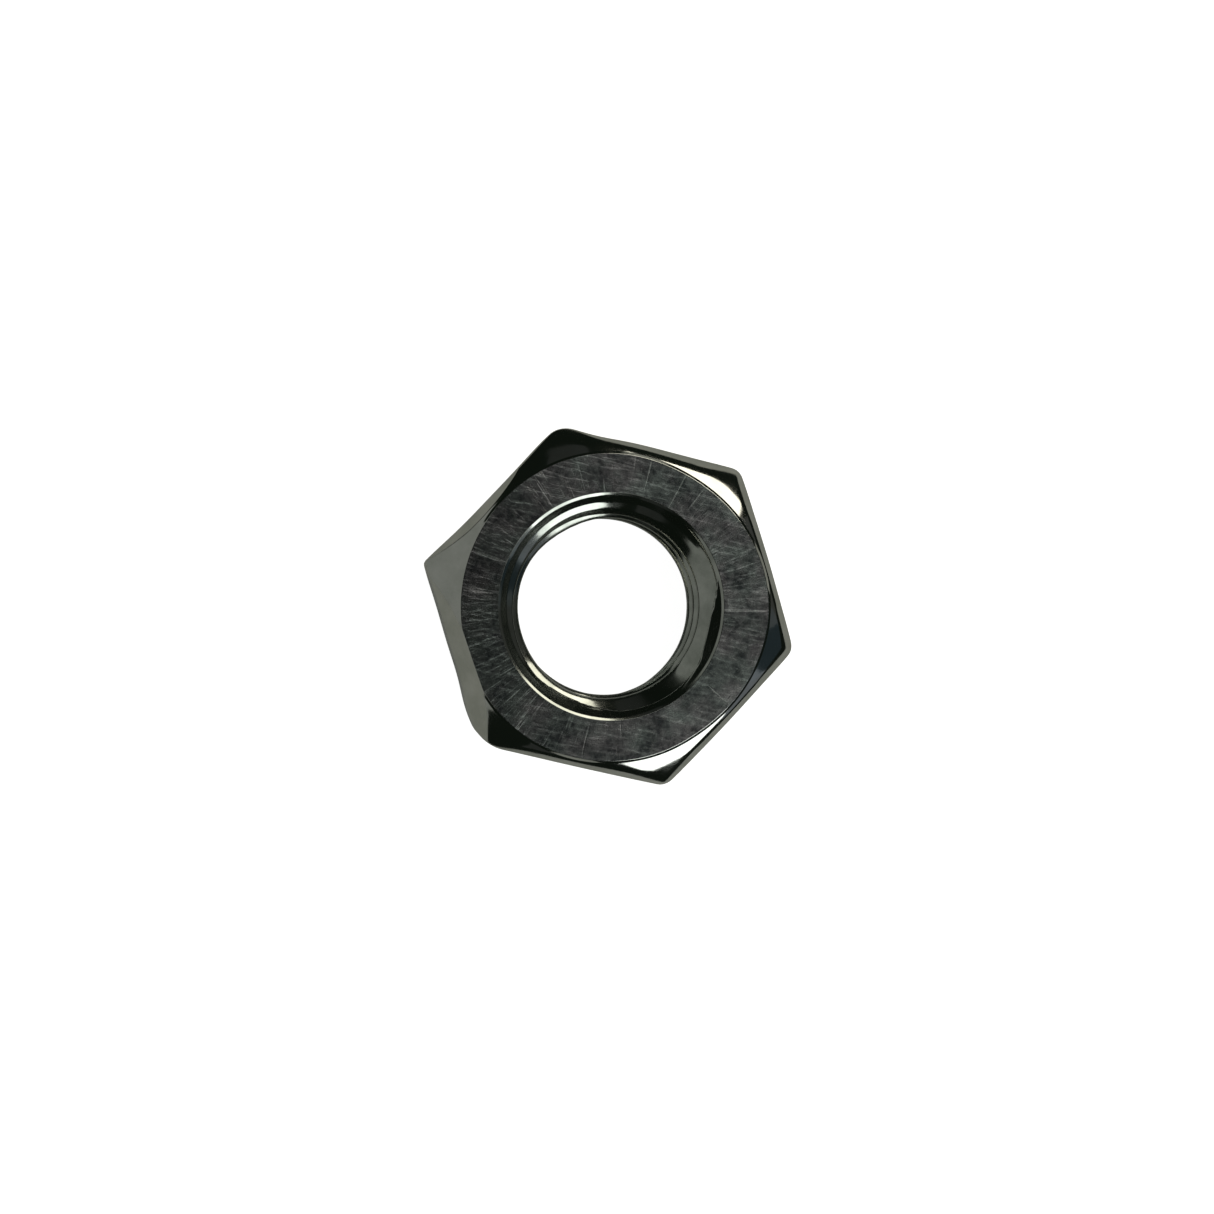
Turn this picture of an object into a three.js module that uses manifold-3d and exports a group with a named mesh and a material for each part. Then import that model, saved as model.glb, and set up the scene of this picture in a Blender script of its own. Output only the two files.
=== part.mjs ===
// Hexagon thin nut with a right-hand metric thread, in millimetres, +Z up along the thread axis.
// The origin is the centre of the lower bearing face. Two opposite corners lie on the X axis.

import * as THREE from 'three';
import { mergeVertices } from 'three/addons/utils/BufferGeometryUtils.js';
import Module from 'manifold-3d';

// Driving dimensions.
const NOMINAL_DIAMETER = 12; // thread's major diameter
const PITCH = 1.75;
const ACROSS_FLATS = 18;
const THICKNESS = 6;
const CORNER_RADIUS = 1.4; // upright edges of the hexagon
const FACE_DIAMETER = 16.9; // flat ring left inside each chamfer
const CHAMFER_ANGLE = THREE.MathUtils.degToRad(30);
const COUNTERSINK_DIAMETER = 12.6;
const COUNTERSINK_ANGLE = THREE.MathUtils.degToRad(45);
const THREAD_START = THREE.MathUtils.degToRad(63); // where the groove leaves the upper face

// Facets.
const CORNER_STEPS = 4; // per hexagon corner
const TURN_STEPS = 60; // per turn, for every round surface
const OVERSHOOT = 1; // how far a cutter runs past the surface that it cuts

// Sizes that follow from the driving ones.
const THREAD_HEIGHT = (PITCH * Math.sqrt(3)) / 2; // of the sharp 60 degree triangle
const MINOR_RADIUS = NOMINAL_DIAMETER / 2 - (5 / 8) * THREAD_HEIGHT;
const ROOT_RADIUS = NOMINAL_DIAMETER / 2;
const ROOT_FLAT = PITCH / 8;
const FLANK_SLOPE = Math.tan(Math.PI / 6); // axial travel per unit of radius, on each flank

const wasm = await Module();
wasm.setup();

function toSolid(geometry) {
  const bare = geometry.index ? geometry.toNonIndexed() : geometry.clone();
  bare.deleteAttribute('normal');
  bare.deleteAttribute('uv');
  const merged = mergeVertices(bare, 1e-5);
  const mesh = new wasm.Mesh({
    numProp: 3,
    vertProperties: new Float32Array(merged.attributes.position.array),
    triVerts: new Uint32Array(merged.index.array),
  });
  return new wasm.Manifold(mesh);
}

function toGeometry(solid) {
  const mesh = solid.getMesh();
  const geometry = new THREE.BufferGeometry();
  geometry.setAttribute('position', new THREE.BufferAttribute(mesh.vertProperties, 3));
  geometry.setIndex(new THREE.BufferAttribute(mesh.triVerts, 1));
  const flatShaded = geometry.toNonIndexed();
  flatShaded.computeVertexNormals();
  return flatShaded;
}

// A solid of revolution about Z. Each point is [radius, height], and the list runs upward.
function revolved(points) {
  const profile = points.map(([radius, height]) => new THREE.Vector2(radius, height));
  const geometry = new THREE.LatheGeometry(profile, TURN_STEPS);
  geometry.rotateX(Math.PI / 2); // the lathe turns about Y
  return toSolid(geometry);
}

// The six flats, with a round edge where two of them meet.
function hexagonBar() {
  const centreDistance = (ACROSS_FLATS / 2 - CORNER_RADIUS) / Math.cos(Math.PI / 6);
  const outline = new THREE.Shape();
  for (let corner = 0; corner < 6; corner += 1) {
    const direction = (corner * Math.PI) / 3;
    const x = centreDistance * Math.cos(direction);
    const y = centreDistance * Math.sin(direction);
    outline.absarc(x, y, CORNER_RADIUS, direction - Math.PI / 6, direction + Math.PI / 6, false);
  }
  outline.closePath();
  const settings = { depth: THICKNESS, bevelEnabled: false, curveSegments: CORNER_STEPS };
  return toSolid(new THREE.ExtrudeGeometry(outline, settings));
}

// The turned envelope that chamfers both ends of the bar.
function chamferEnvelope() {
  const faceRadius = FACE_DIAMETER / 2;
  const outerRadius = ACROSS_FLATS / 2 / Math.cos(Math.PI / 6) + OVERSHOOT;
  const drop = (outerRadius - faceRadius) * Math.tan(CHAMFER_ANGLE);
  return revolved([
    [0, 0],
    [faceRadius, 0],
    [outerRadius, drop],
    [outerRadius, THICKNESS - drop],
    [faceRadius, THICKNESS],
    [0, THICKNESS],
  ]);
}

// The plain bore with a countersink at each end.
function boreCutter() {
  const rimRadius = COUNTERSINK_DIAMETER / 2;
  const mouthRadius = rimRadius + OVERSHOOT;
  const rise = OVERSHOOT / Math.tan(COUNTERSINK_ANGLE);
  const depth = (rimRadius - MINOR_RADIUS) / Math.tan(COUNTERSINK_ANGLE);
  return revolved([
    [0, -rise],
    [mouthRadius, -rise],
    [MINOR_RADIUS, depth],
    [MINOR_RADIUS, THICKNESS - depth],
    [mouthRadius, THICKNESS + rise],
    [0, THICKNESS + rise],
  ]);
}

// The helical groove: one four-sided section carried up a right-hand helix.
function threadCutter() {
  const innerRadius = MINOR_RADIUS - 0.15;
  const halfRoot = ROOT_FLAT / 2;
  const halfMouth = halfRoot + (ROOT_RADIUS - innerRadius) * FLANK_SLOPE;
  const section = [
    [innerRadius, -halfMouth],
    [ROOT_RADIUS, -halfRoot],
    [ROOT_RADIUS, halfRoot],
    [innerRadius, halfMouth],
  ];
  const turns = Math.ceil(THICKNESS / PITCH) + 2;
  const steps = turns * TURN_STEPS;
  const positions = [];
  for (let step = 0; step <= steps; step += 1) {
    const turn = step / TURN_STEPS;
    const angle = THREAD_START + turn * 2 * Math.PI;
    const height = THICKNESS + (turn - turns + 1) * PITCH;
    for (const [radius, offset] of section) {
      positions.push(radius * Math.cos(angle), radius * Math.sin(angle), height + offset);
    }
  }
  const triangles = [];
  const sides = section.length;
  for (let step = 0; step < steps; step += 1) {
    for (let side = 0; side < sides; side += 1) {
      const next = (side + 1) % sides;
      const a = step * sides + side;
      const b = step * sides + next;
      triangles.push(a, a + sides, b, b, a + sides, b + sides);
    }
  }
  const last = steps * sides;
  triangles.push(0, 1, 2, 0, 2, 3);
  triangles.push(last, last + 2, last + 1, last, last + 3, last + 2);
  const geometry = new THREE.BufferGeometry();
  geometry.setAttribute('position', new THREE.Float32BufferAttribute(positions, 3));
  geometry.setIndex(triangles);
  return toSolid(geometry);
}

const blank = hexagonBar().intersect(chamferEnvelope());
const bored = blank.subtract(boreCutter());
const threaded = bored.subtract(threadCutter());

const nutBody = new THREE.Mesh(
  toGeometry(threaded),
  new THREE.MeshStandardMaterial({ color: 0x8b908c, roughness: 0.3, metalness: 1 }),
);
nutBody.name = 'nut_body';

const nut = new THREE.Group();
nut.add(nutBody);

export default nut;
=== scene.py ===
"""Looks of a hexagon thin nut: worn, bright plated steel on a pale surface under soft studio light."""

import math

import bpy
import numpy as np
from mathutils import Matrix, Vector


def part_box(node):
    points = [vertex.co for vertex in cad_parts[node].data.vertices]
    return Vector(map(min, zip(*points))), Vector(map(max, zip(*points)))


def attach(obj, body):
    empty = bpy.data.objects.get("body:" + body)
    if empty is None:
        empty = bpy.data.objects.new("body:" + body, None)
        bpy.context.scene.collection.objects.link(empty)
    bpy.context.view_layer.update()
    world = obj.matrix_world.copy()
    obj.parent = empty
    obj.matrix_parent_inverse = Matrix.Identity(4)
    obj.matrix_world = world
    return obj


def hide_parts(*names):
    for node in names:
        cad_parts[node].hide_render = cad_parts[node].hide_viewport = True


MM = 0.001

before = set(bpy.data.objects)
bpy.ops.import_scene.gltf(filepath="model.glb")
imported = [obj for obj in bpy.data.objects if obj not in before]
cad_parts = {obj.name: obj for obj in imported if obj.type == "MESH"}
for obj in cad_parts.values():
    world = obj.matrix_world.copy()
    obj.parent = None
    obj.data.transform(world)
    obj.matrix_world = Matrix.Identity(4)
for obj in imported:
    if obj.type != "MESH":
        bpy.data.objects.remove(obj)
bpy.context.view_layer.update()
LOW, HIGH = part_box("nut_body")

# Sizes from the frame.
THICKNESS = HIGH.z - LOW.z
ACROSS_FLATS = HIGH.y - LOW.y
HALF_FLATS = ACROSS_FLATS / 2

# Directions as the camera sees them: azimuths below are counted from the nut's +X corner.
CAMERA_ROLL = math.radians(13.4)
VIEW_RIGHT = Vector((math.cos(CAMERA_ROLL), math.sin(CAMERA_ROLL), 0))
VIEW_UP = Vector((-math.sin(CAMERA_ROLL), math.cos(CAMERA_ROLL), 0))
UPWARD = Vector((0, 0, 1))

# The hexagon. Its six upright edges, counted from +X, have worn radii, and some reach further out.
SECTOR = math.radians(60)
CORNER_RADII = np.array([0.8, 0.8, 1.5, 0.3, 2.0, 0.9]) * MM
CORNER_REACH = np.array([0.1, 0.08, 0.08, 0.15, 0, 0]) * MM
REACH_SPREAD = math.radians(11)

# The walls bulge and dip a little: where, by how much, and how broadly.
WALL_WAVES = [
    (math.radians(111), -0.15 * MM, math.radians(10)),
    (math.radians(205), 0.17 * MM, math.radians(21)),
    (math.radians(230), 0.22 * MM, math.radians(9)),
]

# Where a wall meets the chamfer, the edge is round.
BROW_RADIUS = 0.13 * MM

# The bearing face ends on an uneven circle: where it swells or shrinks, by how much, and how broadly.
FACE_RADIUS = 8.37 * MM
FACE_WAVES = [
    (math.radians(13), 0.16 * MM, math.radians(26)),
    (math.radians(76), -0.16 * MM, math.radians(24)),
    (math.radians(245), 0.18 * MM, math.radians(30)),
    (math.radians(318), -0.09 * MM, math.radians(16)),
]

# The chamfer steepens outward, and a narrow steeper edge borders the bearing face.
CHAMFER_START = math.tan(math.radians(24))
CHAMFER_END = math.tan(math.radians(34.5))
CHAMFER_TURN = 0.64 * MM
EDGE_EXTRA = math.tan(math.radians(38)) - CHAMFER_START
EDGE_WIDTH = 0.14 * MM

# Four sides have softly rolled upper edges: where the side faces, where the roll starts, and its growth.
# The roll is weaker at the corners.
SOFT_SIDES = [
    (math.radians(30), 8.37 * MM, 0.62 / MM),
    (math.radians(90), 8.03 * MM, 0.28 / MM),
    (math.radians(270), 8.3 * MM, 0.5 / MM),
    (math.radians(330), 8.42 * MM, 0.66 / MM),
]
CORNER_EASE = 0.5
EASE_SPREAD = math.radians(11)

# Two sides are beaten flat at a steep slope: where it faces, where it starts, and how steep it is.
BEATEN_SIDES = [
    (math.radians(153.8), 8.5 * MM, math.radians(54)),
    (math.radians(212), 8.25 * MM, math.radians(55)),
]
BEATEN_BLEND = 0.06
AWAY = 0.2  # below this cosine, an azimuth is too far round from a beaten side to be cut by it

# The bore, slightly off the hexagon's centre: a right-hand thread leaves the upper face at one azimuth.
PITCH = 1.75 * MM
MAJOR_RADIUS = 6 * MM
MINOR_RADIUS = MAJOR_RADIUS - 0.605 * PITCH
FLANK_TANGENT = math.tan(math.radians(30))
THREAD_START = math.radians(72)
ROOT_BLEND = 0.08 * MM
CREST_BLEND = 0.14 * MM
BORE_OFFSET = VIEW_RIGHT * -0.21 * MM

# The lead-in goes down from the rim in facets, each from one radius to the next at its own slope.
RIM_RADIUS = 6.21 * MM
RIM_FILLET = 0.06 * MM
LEAD_IN_RADII = np.array([6.21, 6.06, 5.71, 5.38, 4.6]) * MM
LEAD_IN_SLOPES = np.radians([27, 43, 28, 44])
LEAD_IN_BLEND = 0.06 * MM

# On one side the lead-in is worn nearly flat.
WORN_RADII = np.array([6.21, 6.06, 5.5, 5.3, 4.6]) * MM
WORN_SLOPES = np.radians([27, 9, 45, 50])
WORN_AZIMUTH = math.radians(1)
WORN_SPREAD = math.radians(27)

# On another side it reaches further in.
DEEP_RADII = np.array([6.21, 6.09, 5.52, 5.2, 4.6]) * MM
DEEP_AZIMUTH = math.radians(253)
DEEP_SPREAD = math.radians(40)

# The first groove stays covered down to some depth: where, how deep, and how broadly. Above that depth its
# radius shrinks by COVER_SLOPE for each unit of height.
COVER_WAVES = [
    (math.radians(1), 0.27 * MM, math.radians(29)),
    (math.radians(257), 0.7 * MM, math.radians(42)),
]
COVER_SLOPE = 8

# Crests pushed inward or worn away: where, by how much, how broadly, and at what depth.
CREST_WEAR = [
    (math.radians(133), 0.19 * MM, math.radians(24), 2.35 * MM),
    (math.radians(255), -0.2 * MM, math.radians(38), 1.55 * MM),
]
CREST_REACH = 0.5 * MM

# How fine the mesh is. The upper side, which is seen most closely, is finer than the underside.
COLUMNS = 432
UPPER_ROWS = {"face_rows": 8, "edge_rows": 26, "round_rows": 8, "wall_rows": 3}
LOWER_ROWS = {"face_rows": 4, "edge_rows": 14, "round_rows": 5, "wall_rows": 3}
FINE_BORE_ROWS = 92
FINE_BORE_DEPTH = 3.2 * MM
COARSE_BORE_ROWS = 34

# Rows this close to an edge keep its shading crisp.
CREASE = 0.02 * MM

# Above 1, rows crowd toward the bearing face.
CHAMFER_CROWDING = 1.4
BORE_CROWDING = 1.3


def smooth_max(a, b, width):
    return (a + b + np.sqrt((a - b) ** 2 + width ** 2)) / 2


def smooth_min(a, b, width):
    return -smooth_max(-a, -b, width)


def bump(angle, centre, spread):
    """A smooth hill of height 1 around one azimuth."""
    away = (angle - centre + math.pi) % (2 * math.pi) - math.pi
    return np.exp(-(away / spread) ** 2)


def waves(azimuth, hills):
    """Smooth hills and hollows. Each has its azimuth, height and spread."""
    return sum(height * bump(azimuth, centre, spread) for centre, height, spread in hills)


def outline_radius(azimuth):
    """Distance from the axis to the hexagon's wall. Corners lie on the X axis and every 60 degrees."""
    corner = np.round(azimuth / SECTOR).astype(int) % 6
    rounding = CORNER_RADII[corner]
    off_corner = np.abs((azimuth + SECTOR / 2) % SECTOR - SECTOR / 2)
    secant = 1 / math.cos(SECTOR / 2)
    centre = (HALF_FLATS - rounding) * secant
    flat = HALF_FLATS / np.cos(SECTOR / 2 - off_corner)
    half_chord = np.sqrt(np.maximum(rounding ** 2 - (centre * np.sin(off_corner)) ** 2, 0))
    round_edge = centre * np.cos(off_corner) + half_chord
    touch = np.arctan2(rounding / 2, centre + rounding / secant)
    wall = np.where(off_corner < touch, round_edge, flat)
    reach = CORNER_REACH[corner] * np.exp(-(off_corner / REACH_SPREAD) ** 2)
    return wall + reach + waves(azimuth, WALL_WAVES)


def face_radius(azimuth):
    return FACE_RADIUS + waves(azimuth, FACE_WAVES)


def face_edge(azimuth):
    """Where the flat bearing face ends: on its uneven circle, or nearer where a beaten side cuts it."""
    edge = face_radius(azimuth)
    for facing, start, _ in BEATEN_SIDES:
        toward = np.cos(azimuth - facing)
        cut = start / np.maximum(toward, AWAY)
        edge = np.minimum(edge, cut)
    return edge


def surface_drop(radius, azimuth):
    """How far the surface beyond the bearing face lies below it."""
    beyond = np.maximum(radius - face_radius(azimuth), 0)
    turned = beyond - CHAMFER_TURN * np.arctan(beyond / CHAMFER_TURN)
    drop = CHAMFER_START * beyond + (CHAMFER_END - CHAMFER_START) * turned
    drop = drop + EDGE_EXTRA * np.minimum(beyond, EDGE_WIDTH)
    edge = face_edge(azimuth)
    blend = BEATEN_BLEND * np.maximum(radius - edge, 0)
    off_corner = (azimuth + SECTOR / 2) % SECTOR - SECTOR / 2
    softness = 1 - CORNER_EASE * np.exp(-(off_corner / EASE_SPREAD) ** 2)
    roll = 0
    for facing, start, growth in SOFT_SIDES:
        toward = np.cos(azimuth - facing)
        reach = np.maximum(radius * toward - start, 0)
        reach_at_edge = np.maximum(edge * toward - start, 0)
        roll = np.maximum(roll, growth * (reach ** 2 - reach_at_edge ** 2))
    drop = drop + softness * roll
    for facing, start, slope in BEATEN_SIDES:
        beaten = (radius * np.cos(azimuth - facing) - start) * math.tan(slope)
        drop = smooth_max(drop, beaten, blend)
    return drop


def thread_radius(azimuth, height):
    """Distance from the bore's axis to the thread, on a right-hand helix."""
    turns = (height - THICKNESS) / PITCH - (azimuth - THREAD_START) / (2 * math.pi)
    off_groove = np.abs((turns + 0.5) % 1 - 0.5) * PITCH
    sharp_root = MAJOR_RADIUS + PITCH / 16 / FLANK_TANGENT
    radius = smooth_min(sharp_root - off_groove / FLANK_TANGENT, MAJOR_RADIUS, ROOT_BLEND)
    depth = THICKNESS - height
    crest = MINOR_RADIUS
    for centre, inward, spread, at_depth in CREST_WEAR:
        near = math.exp(-((depth - at_depth) / CREST_REACH) ** 2)
        crest = crest - inward * bump(azimuth, centre, spread) * near
    return smooth_max(radius, crest, CREST_BLEND)


def lead_in(depth, radii, slopes):
    """The lead-in's radius at a depth below the upper face."""
    drops = (radii[:-1] - radii[1:]) * np.tan(slopes)
    depths = np.concatenate([[0], np.cumsum(drops)])
    return np.interp(depth, depths, radii)


def bore_radius(azimuth, height):
    """Distance from the bore's axis to its wall. The underside has a plain 45 degree countersink."""
    depth = THICKNESS - height
    worn = bump(azimuth, WORN_AZIMUTH, WORN_SPREAD)
    deep = bump(azimuth, DEEP_AZIMUTH, DEEP_SPREAD)
    upper_lead = (1 - worn - deep) * lead_in(depth, LEAD_IN_RADII, LEAD_IN_SLOPES)
    upper_lead = upper_lead + worn * lead_in(depth, WORN_RADII, WORN_SLOPES)
    upper_lead = upper_lead + deep * lead_in(depth, DEEP_RADII, LEAD_IN_SLOPES)
    lower_lead = RIM_RADIUS - height
    lead = np.maximum(upper_lead, lower_lead)
    covered = np.maximum(waves(azimuth, COVER_WAVES) - depth, 0)
    thread = thread_radius(azimuth, height) - COVER_SLOPE * covered
    return smooth_max(thread, lead, LEAD_IN_BLEND)


def fillet(corner, incoming, outgoing, radius, count):
    """Points of a round edge. Each value may differ by azimuth."""
    turn = np.arccos(incoming[0] * outgoing[0] + incoming[1] * outgoing[1])
    reach = radius * np.tan(turn / 2)
    across = [(o - np.cos(turn) * i) / np.sin(turn) for i, o in zip(incoming, outgoing)]
    points = []
    for step in range(count + 1):
        angle = turn * step / count
        along = radius * np.sin(angle) - reach
        side = radius * (1 - np.cos(angle))
        points.append([corner[k] + incoming[k] * along + across[k] * side for k in (0, 1)])
    return points


def outer_half(azimuth, face_rows, edge_rows, round_rows, wall_rows):
    """Rows from the bore's rim over the bearing face to mid-wall, each as (radius, height, zone)."""
    rows = []
    slope = LEAD_IN_SLOPES[0]
    rise = (math.cos(slope), math.sin(slope))
    for radius, height in fillet((RIM_RADIUS, THICKNESS), rise, (1.0, 0.0), RIM_FILLET, round_rows):
        rows.append((radius, height, "bore"))
    inner = rows[-1][0] + CREASE
    rows.append((inner, THICKNESS, "face"))
    edge = face_edge(azimuth)
    for step in range(1, face_rows + 1):
        rows.append((inner + (edge - CREASE - inner) * step / face_rows, THICKNESS, "face"))
    rows.append((edge, THICKNESS, "face"))
    wall = outline_radius(azimuth)
    wall_drop = surface_drop(wall, azimuth)
    step_in = 0.05 * MM
    lean = np.arctan2(wall_drop - surface_drop(wall - step_in, azimuth), step_in)
    incoming = (np.cos(lean), -np.sin(lean))
    brow = fillet((wall, THICKNESS - wall_drop), incoming, (0.0, -1.0), BROW_RADIUS, round_rows)
    end = brow[0][0]
    inner_edge = edge + EDGE_WIDTH
    for radius in (edge + CREASE, inner_edge - CREASE, inner_edge):
        rows.append((radius, THICKNESS - surface_drop(radius, azimuth), "chamfer"))
    for step in range(1, edge_rows):
        radius = inner_edge + (end - inner_edge) * (step / edge_rows) ** CHAMFER_CROWDING
        rows.append((radius, THICKNESS - surface_drop(radius, azimuth), "chamfer"))
    for radius, height in brow:
        rows.append((radius, height, "chamfer"))
    top = brow[-1][1]
    for step in range(1, wall_rows + 1):
        share = step / (wall_rows + 0.5)
        rows.append((wall, top + (THICKNESS / 2 - top) * share, "flat"))
    return rows


def all_rows(azimuth):
    """Every row of the closed surface: down the outside, over the underside and up the bore."""
    upper = outer_half(azimuth, **UPPER_ROWS)
    lower = outer_half(azimuth, **LOWER_ROWS)
    rows = upper + [(radius, THICKNESS - height, zone) for radius, height, zone in reversed(lower)]
    bottom = THICKNESS - lower[0][1]
    top = upper[0][1]
    middle = THICKNESS - FINE_BORE_DEPTH
    for level in np.linspace(bottom, middle, COARSE_BORE_ROWS + 1)[1:]:
        rows.append((bore_radius(azimuth, level), level, "bore"))
    for step in range(FINE_BORE_ROWS - 1, 0, -1):
        level = top - (top - middle) * (step / FINE_BORE_ROWS) ** BORE_CROWDING
        rows.append((bore_radius(azimuth, level), level, "bore"))
    return rows


# Each zone has its own material, in this order.
ZONES = ["face", "chamfer", "flat", "bore"]


def nut_mesh():
    azimuth = np.linspace(0, 2 * math.pi, COLUMNS, endpoint=False)
    rows = all_rows(azimuth)
    count = len(rows)
    radius = np.array([r + np.zeros(COLUMNS) for r, _, _ in rows])
    height = np.array([h + np.zeros(COLUMNS) for _, h, _ in rows])
    off_centre = np.clip((HALF_FLATS - radius) / (HALF_FLATS - RIM_RADIUS), 0, 1)
    x = radius * np.cos(azimuth) + BORE_OFFSET.x * off_centre
    y = radius * np.sin(azimuth) + BORE_OFFSET.y * off_centre
    vertices = np.stack([x, y, height + LOW.z], axis=-1).reshape(-1, 3)
    row, column = np.meshgrid(np.arange(count), np.arange(COLUMNS), indexing="ij")
    next_row = (row + 1) % count
    next_column = (column + 1) % COLUMNS
    corners = [row * COLUMNS + column, next_row * COLUMNS + column,
               next_row * COLUMNS + next_column, row * COLUMNS + next_column]
    faces = np.stack(corners, axis=-1).reshape(-1, 4)
    mesh = bpy.data.meshes.new("hex_nut")
    mesh.from_pydata(vertices.tolist(), [], faces.tolist())
    zones = [ZONES.index(zone) for _, _, zone in rows]
    quads = [zones[(i + 1) % count] for i in range(count)]
    mesh.polygons.foreach_set("material_index", np.repeat(quads, COLUMNS).astype(np.int32))
    mesh.polygons.foreach_set("use_smooth", np.ones(len(faces), bool))
    mesh.update()
    return mesh


class Graph:
    """A short way to write a material's nodes."""

    def __init__(self, name):
        self.material = bpy.data.materials.new(name)
        self.material.use_nodes = True
        self.tree = self.material.node_tree
        self.shader = self.tree.nodes["Principled BSDF"]
        self.shader.inputs["Metallic"].default_value = 1

    def add(self, kind, inputs, output=0, **settings):
        node = self.tree.nodes.new("ShaderNode" + kind)
        for key, value in settings.items():
            setattr(node, key, value)
        for key, value in inputs.items():
            if isinstance(value, bpy.types.NodeSocket):
                self.tree.links.new(value, node.inputs[key])
            else:
                node.inputs[key].default_value = value
        return node.outputs[output]

    def math(self, operation, a, b=0.0):
        return self.add("Math", {0: a, 1: b}, operation=operation)

    def position(self):
        return self.add("TexCoord", {}, "Object")

    def noise(self, vector, scale, detail=4.0, roughness=0.6):
        inputs = {"Vector": vector, "Scale": scale, "Detail": detail, "Roughness": roughness}
        return self.add("TexNoise", inputs)

    def ramp(self, value, low, high, to_low=0.0, to_high=1.0):
        inputs = {"Value": value, "From Min": low, "From Max": high, "To Min": to_low, "To Max": to_high}
        return self.add("MapRange", inputs)

    def mix(self, factor, a, b):
        """A colour between a, at factor 0, and b, at factor 1."""
        return self.add("Mix", {"Factor": factor, 6: (*a, 1), 7: (*b, 1)}, 2, data_type="RGBA")

    def polar(self, around, outward):
        """A place on a cone: fine around the axis, coarse outward, or the other way round."""
        split = self.tree.nodes.new("ShaderNodeSeparateXYZ")
        self.tree.links.new(self.position(), split.inputs[0])
        x, y = split.outputs[0], split.outputs[1]
        flat = self.add("CombineXYZ", {0: x, 1: y})
        radius = self.add("VectorMath", {0: flat}, "Value", operation="LENGTH")
        turned = self.add("VectorMath", {0: flat}, operation="NORMALIZE")
        wide = self.add("VectorMath", {0: turned, "Scale": around}, operation="SCALE")
        lift = self.add("CombineXYZ", {2: self.math("MULTIPLY", radius, outward)})
        return self.add("VectorMath", {0: wide, 1: lift}, operation="ADD")

    def bump(self, height, distance, strength=1.0):
        normal = self.add("Bump", {"Height": height, "Distance": distance, "Strength": strength})
        self.tree.links.new(normal, self.shader.inputs["Normal"])

    def drive(self, socket, value):
        self.tree.links.new(value, self.shader.inputs[socket])


# Grinding marks on the bearing face run this way.
GROUND_AZIMUTH = math.radians(30)


def satin_face():
    """The bearing face: mottled satin plating, short scratches that run outward, and faint turning arcs."""
    graph = Graph("satin_face")
    place = graph.position()
    cloud = graph.noise(place, 700.0, 8.0, 0.72)
    grain = graph.noise(place, 3200.0, 5.0, 0.7)
    tint = graph.noise(place, 420.0, 3.0, 0.6)
    streaks = graph.noise(graph.polar(60.0, 620.0), 1.0, 4.0, 0.7)
    long_streaks = graph.noise(graph.polar(26.0, 200.0), 1.0, 2.0, 0.5)
    arcs = graph.noise(graph.polar(1.5, 12000.0), 1.0, 2.0, 0.5)
    turned = {"Vector": place, "Rotation": (0, 0, -GROUND_AZIMUTH), "Scale": (0.12, 1, 1)}
    ground = graph.ramp(graph.noise(graph.add("Mapping", turned), 5200.0, 3.0, 0.6), 0.52, 0.7)
    scratches = graph.ramp(streaks, 0.56, 0.72)
    lines = graph.ramp(long_streaks, 0.66, 0.72)
    shade = graph.math("ADD", cloud, graph.math("MULTIPLY", grain, 0.5))
    shade = graph.math("ADD", shade, graph.math("MULTIPLY", scratches, 0.23))
    shade = graph.math("ADD", shade, graph.math("MULTIPLY", lines, 0.28))
    shade = graph.math("ADD", shade, graph.math("MULTIPLY", ground, 0.15))
    level = graph.ramp(shade, 0.62, 1.12)
    base = graph.mix(level, (0.072, 0.0765, 0.079), (0.565, 0.57, 0.55))
    hue = graph.mix(graph.ramp(tint, 0.4, 0.6), (0.9, 1.0, 0.97), (1.0, 0.97, 1.0))
    color = graph.add("Mix", {"Factor": 1.0, 6: base, 7: hue}, 2, data_type="RGBA", blend_type="MULTIPLY")
    graph.drive("Base Color", color)
    graph.drive("Roughness", graph.ramp(cloud, 0.3, 0.7, 0.3, 0.17))
    relief = graph.math("ADD", graph.math("MULTIPLY", scratches, -0.75), graph.math("MULTIPLY", grain, 0.8))
    relief = graph.math("ADD", relief, graph.math("MULTIPLY", lines, -0.8))
    relief = graph.math("ADD", relief, graph.math("MULTIPLY", ground, -0.8))
    relief = graph.math("ADD", relief, graph.math("MULTIPLY", arcs, 0.5))
    graph.bump(relief, 0.006 * MM, 0.8)
    return graph.material


def bright_chamfer():
    """Chamfers and edges: smooth plating with small pits and dull spots."""
    graph = Graph("bright_chamfer")
    place = graph.position()
    cloud = graph.noise(place, 700.0, 4.0, 0.6)
    grain = graph.noise(place, 2600.0, 3.0, 0.6)
    level = graph.ramp(cloud, 0.35, 0.7)
    graph.drive("Base Color", graph.mix(level, (0.58, 0.59, 0.56), (0.7, 0.7, 0.68)))
    graph.drive("Roughness", graph.ramp(cloud, 0.35, 0.7, 0.1, 0.05))
    graph.bump(grain, 0.0025 * MM, 0.4)
    return graph.material


def drawn_flat():
    """The six flats: drawn bar stock, with faint upright marks."""
    graph = Graph("drawn_flat")
    place = graph.position()
    stretched = graph.add("Mapping", {"Vector": place, "Scale": (1.0, 1.0, 0.08)})
    marks = graph.noise(stretched, 3200.0, 3.0, 0.6)
    cloud = graph.noise(place, 500.0, 4.0, 0.6)
    level = graph.ramp(graph.math("ADD", cloud, graph.math("MULTIPLY", marks, 1.6)), 0.9, 1.7)
    graph.drive("Base Color", graph.mix(level, (0.5, 0.51, 0.48), (0.72, 0.72, 0.7)))
    graph.drive("Roughness", graph.ramp(level, 0, 1, 0.3, 0.16))
    graph.bump(marks, 0.008 * MM, 0.8)
    return graph.material


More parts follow.
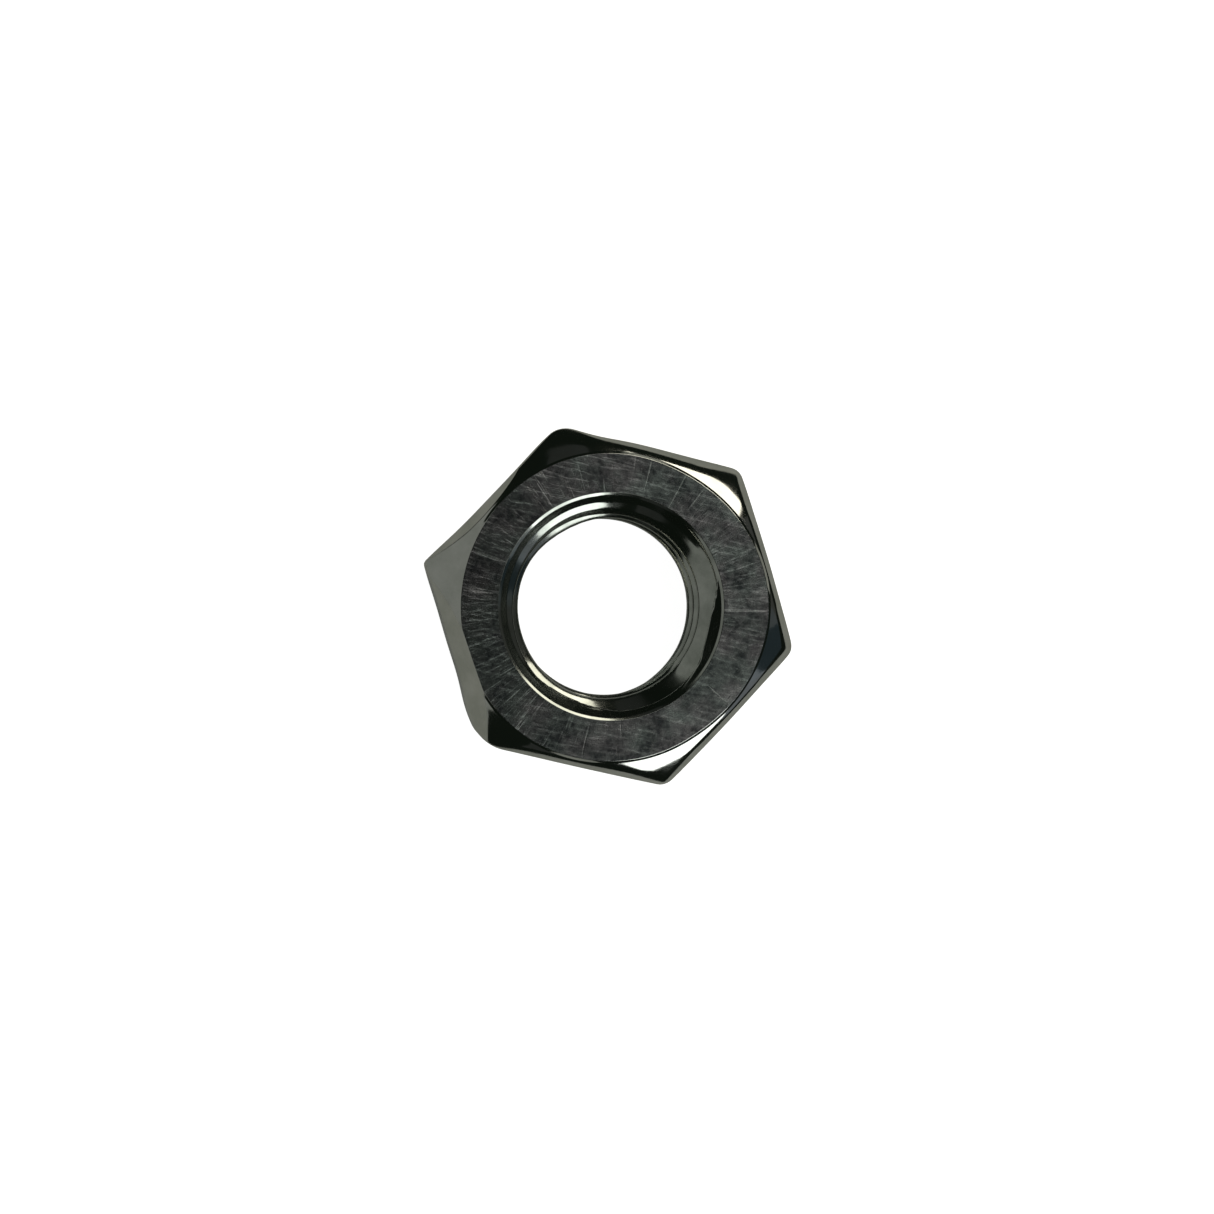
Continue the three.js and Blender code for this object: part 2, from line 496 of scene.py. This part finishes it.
def bright_thread():
    """The bore: smooth plating with fine lines that run round it."""
    graph = Graph("bright_thread")
    place = graph.position()
    squashed = graph.add("Mapping", {"Vector": place, "Scale": (0.05, 0.05, 1.0)})
    lines = graph.noise(squashed, 9000.0, 3.0, 0.6)
    cloud = graph.noise(place, 800.0, 4.0, 0.6)
    level = graph.ramp(cloud, 0.35, 0.7)
    graph.drive("Base Color", graph.mix(level, (0.38, 0.4, 0.37), (0.56, 0.575, 0.545)))
    graph.drive("Roughness", graph.ramp(cloud, 0.35, 0.7, 0.16, 0.07))
    graph.bump(lines, 0.004 * MM, 0.5)
    return graph.material


def build_nut():
    nut = bpy.data.objects.new("hex_nut", nut_mesh())
    bpy.context.scene.collection.objects.link(nut)
    for make in (satin_face, bright_chamfer, drawn_flat, bright_thread):
        nut.data.materials.append(make())
    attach(nut, "root")
    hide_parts("nut_body")
    return nut


# The camera.
CAMERA_LEAN = math.radians(7.8)
CAMERA_DISTANCE = 95 * MM
VIEW_WIDTH = 66.0 * MM
LOOK_RIGHT = -0.49 * MM
LOOK_UP = -0.03 * MM

LIGHT_DISTANCE = 0.4


def in_view(azimuth, elevation):
    """The direction at an azimuth counted from the view's right, and an elevation above the floor."""
    level = VIEW_RIGHT * math.cos(azimuth) + VIEW_UP * math.sin(azimuth)
    return level * math.cos(elevation) + UPWARD * math.sin(elevation)


def look_at(thing, place, target, up):
    back = (place - target).normalized()
    right = up.cross(back).normalized()
    rows = (right, back.cross(right), back)
    turned = Matrix([[axis[k] for axis in rows] for k in range(3)])
    thing.matrix_world = Matrix.Translation(place) @ turned.to_4x4()


def add_camera():
    data = bpy.data.cameras.new("camera")
    camera = bpy.data.objects.new("camera", data)
    bpy.context.scene.collection.objects.link(camera)
    target = VIEW_RIGHT * LOOK_RIGHT + VIEW_UP * LOOK_UP + UPWARD * HIGH.z
    back = UPWARD * math.cos(CAMERA_LEAN) - VIEW_RIGHT * math.sin(CAMERA_LEAN)
    look_at(camera, target + back * CAMERA_DISTANCE, target, VIEW_UP)
    data.sensor_width = 36
    data.lens = data.sensor_width * CAMERA_DISTANCE / VIEW_WIDTH
    data.clip_start = 0.005
    data.clip_end = 5
    bpy.context.scene.camera = camera


def softbox(name, azimuth, elevation, width, height, brightness, color):
    """A rectangular light that faces the nut. Its place and its size are angles in degrees."""
    data = bpy.data.lights.new(name, "AREA")
    data.shape = "RECTANGLE"
    data.size = 2 * LIGHT_DISTANCE * math.tan(math.radians(width) / 2)
    data.size_y = 2 * LIGHT_DISTANCE * math.tan(math.radians(height) / 2)
    data.energy = brightness * math.pi * data.size * data.size_y
    data.color = color
    light = bpy.data.objects.new(name, data)
    bpy.context.scene.collection.objects.link(light)
    place = in_view(math.radians(azimuth), math.radians(elevation)) * LIGHT_DISTANCE
    look_at(light, place, Vector((0, 0, 0)), UPWARD)
    light.visible_camera = False


def add_lights():
    softbox("warm_box", 55, 36, 38, 35, 2.1, (1, 0.95, 0.8))
    softbox("cool_box", 303, 36.3, 32, 31.4, 2.2, (0.96, 1, 0.96))
    softbox("grey_card", 179, 29.5, 72, 58, 0.21, (0.97, 1, 0.92))
    softbox("blue_card", 347, 32, 22, 40, 0.025, (0.5, 0.75, 1))
    softbox("pale_blue_card", 328, 30, 18, 40, 0.15, (0.85, 0.92, 1))
    softbox("right_card", 12, 34, 34, 40, 0.04, (1, 1, 0.95))
    softbox("back_card", 98, 40, 14, 30, 0.016, (1, 1, 1))
    softbox("front_card", 256, 34, 14, 40, 0.02, (1, 1, 1))
    softbox("top_card", 312, 65, 26, 30, 0.45, (1, 1, 0.97))
    softbox("back_top_card", 60, 66, 24, 28, 0.48, (1, 1, 0.97))


def two_tone(tree, shown, hidden):
    """One shader for what the camera sees directly, and another for what reflections see."""
    mix = tree.nodes.new("ShaderNodeMixShader")
    path = tree.nodes.new("ShaderNodeLightPath")
    tree.links.new(path.outputs["Is Camera Ray"], mix.inputs[0])
    tree.links.new(hidden, mix.inputs[1])
    tree.links.new(shown, mix.inputs[2])
    return mix.outputs[0]


def add_world():
    world = bpy.data.worlds.new("studio")
    bpy.context.scene.world = world
    world.use_nodes = True
    tree = world.node_tree
    tree.nodes.clear()
    output = tree.nodes.new("ShaderNodeOutputWorld")
    dark = tree.nodes.new("ShaderNodeBackground")
    pale = tree.nodes.new("ShaderNodeBackground")
    dark.inputs["Color"].default_value = (0.006, 0.0085, 0.006, 1)
    pale.inputs["Color"].default_value = (1, 1, 1, 1)
    tree.links.new(two_tone(tree, pale.outputs[0], dark.outputs[0]), output.inputs[0])


def add_floor():
    half = 3.0
    mesh = bpy.data.meshes.new("floor")
    corners = [(-half, -half, 0), (half, -half, 0), (half, half, 0), (-half, half, 0)]
    mesh.from_pydata(corners, [], [(0, 1, 2, 3)])
    floor = bpy.data.objects.new("floor", mesh)
    bpy.context.scene.collection.objects.link(floor)
    floor.location.z = LOW.z - 0.02 * MM
    material = bpy.data.materials.new("pale_floor")
    material.use_nodes = True
    tree = material.node_tree
    shown = tree.nodes["Principled BSDF"]
    shown.inputs["Base Color"].default_value = (0.9, 0.9, 0.9, 1)
    shown.inputs["Roughness"].default_value = 0.9
    shown.inputs["Emission Color"].default_value = (1, 1, 1, 1)
    shown.inputs["Emission Strength"].default_value = 0.95
    hidden = tree.nodes.new("ShaderNodeBsdfPrincipled")
    hidden.inputs["Base Color"].default_value = (0.31, 0.315, 0.285, 1)
    hidden.inputs["Roughness"].default_value = 0.9
    hidden.inputs["Emission Color"].default_value = (0.97, 1, 0.92, 1)
    hidden.inputs["Emission Strength"].default_value = 0.1
    surface = two_tone(tree, shown.outputs[0], hidden.outputs[0])
    tree.links.new(surface, tree.nodes["Material Output"].inputs[0])
    mesh.materials.append(material)


bpy.context.scene.view_settings.view_transform = "Standard"
build_nut()
add_floor()
add_world()
add_lights()
add_camera()
